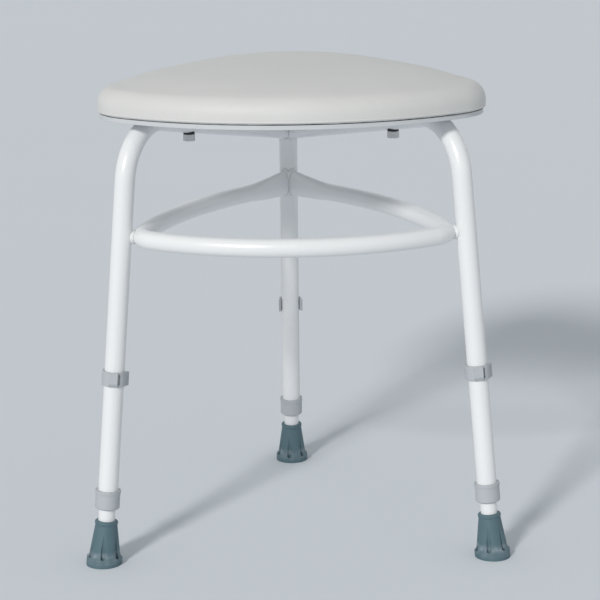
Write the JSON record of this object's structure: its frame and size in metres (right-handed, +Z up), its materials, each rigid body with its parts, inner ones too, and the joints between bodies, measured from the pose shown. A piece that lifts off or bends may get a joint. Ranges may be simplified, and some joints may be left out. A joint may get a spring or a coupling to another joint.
{
  "type": "corner shower stool",
  "caption": "Three-legged corner shower stool with a padded rounded-triangle seat, a bowed footrest ring and telescopic legs that lock with spring clips and stand on rubber ferrules.",
  "frame": {"origin": "on the floor, under the middle of the stool's outline", "axes": "+Z up, +Y towards the single rear leg and the corner, +X to the right of someone facing the stool"},
  "size_m": [0.4064, 0.3958, 0.4618],
  "materials": {
    "white_powder_coat": "gloss",
    "seat_vinyl": "smooth soft vinyl over foam",
    "pan_plastic": "satin",
    "grey_plastic": "satin",
    "bolt_cap_grey": "satin",
    "black_rubber": "matt",
    "ferrule_rubber": "matt",
    "zinc_steel": "zinc plated"
  },
  "bodies": {
    "frame": {"front_left_leg_tube": "white_powder_coat", "front_right_leg_tube": "white_powder_coat", "rear_leg_tube": "white_powder_coat", "rear_top_plate": "white_powder_coat", "arm_welds": "white_powder_coat", "footrest_ring": "white_powder_coat", "footrest_front_welds": "white_powder_coat", "footrest_rear_weld": "white_powder_coat", "seat_cushion": "seat_vinyl", "seat_base": "pan_plastic", "seat_tee_nuts": "zinc_steel", "rear_seat_bolts": "zinc_steel", "arm_seat_bolts": "bolt_cap_grey", "arm_bolt_saddles": "black_rubber", "arm_seat_spacers": "bolt_cap_grey", "front_left_collar": "grey_plastic", "front_right_collar": "grey_plastic", "rear_collar": "grey_plastic"},
    "front_left_extension": {"front_left_inner_leg": "white_powder_coat", "front_left_ferrule": "ferrule_rubber", "front_left_ferrule_disc": "zinc_steel", "front_left_glide": "grey_plastic"},
    "front_left_clip_body": {"front_left_clip": "grey_plastic"},
    "front_right_extension": {"front_right_inner_leg": "white_powder_coat", "front_right_ferrule": "ferrule_rubber", "front_right_ferrule_disc": "zinc_steel", "front_right_glide": "grey_plastic"},
    "front_right_clip_body": {"front_right_clip": "grey_plastic"},
    "rear_extension": {"rear_inner_leg": "white_powder_coat", "rear_ferrule": "ferrule_rubber", "rear_ferrule_disc": "zinc_steel", "rear_glide": "grey_plastic"},
    "rear_clip_body": {"rear_clip": "grey_plastic"}
  },
  "joints": [
    {"name": "front_left_leg_slide", "type": "slide", "parent": "frame", "child": "front_left_extension", "axis": [-0.0813, -0.047, -0.9956], "range_m": [0, 0.1524]},
    {"name": "front_left_clip_pull", "type": "slide", "parent": "frame", "child": "front_left_clip_body", "axis": [-0.2729, -0.9597, 0.0676], "range_m": [0, 0.016]},
    {"name": "front_right_leg_slide", "type": "slide", "parent": "frame", "child": "front_right_extension", "axis": [0.0813, -0.047, -0.9956], "range_m": [0, 0.1524]},
    {"name": "front_right_clip_pull", "type": "slide", "parent": "frame", "child": "front_right_clip_body", "axis": [-0.2766, -0.9607, 0.0227], "range_m": [0, 0.016]},
    {"name": "rear_leg_slide", "type": "slide", "parent": "frame", "child": "rear_extension", "axis": [0, 0.0939, -0.9956], "range_m": [0, 0.1524]},
    {"name": "rear_clip_pull", "type": "slide", "parent": "frame", "child": "rear_clip_body", "axis": [-0.0872, 0.9918, 0.0936], "range_m": [0, 0.016]}
  ]
}
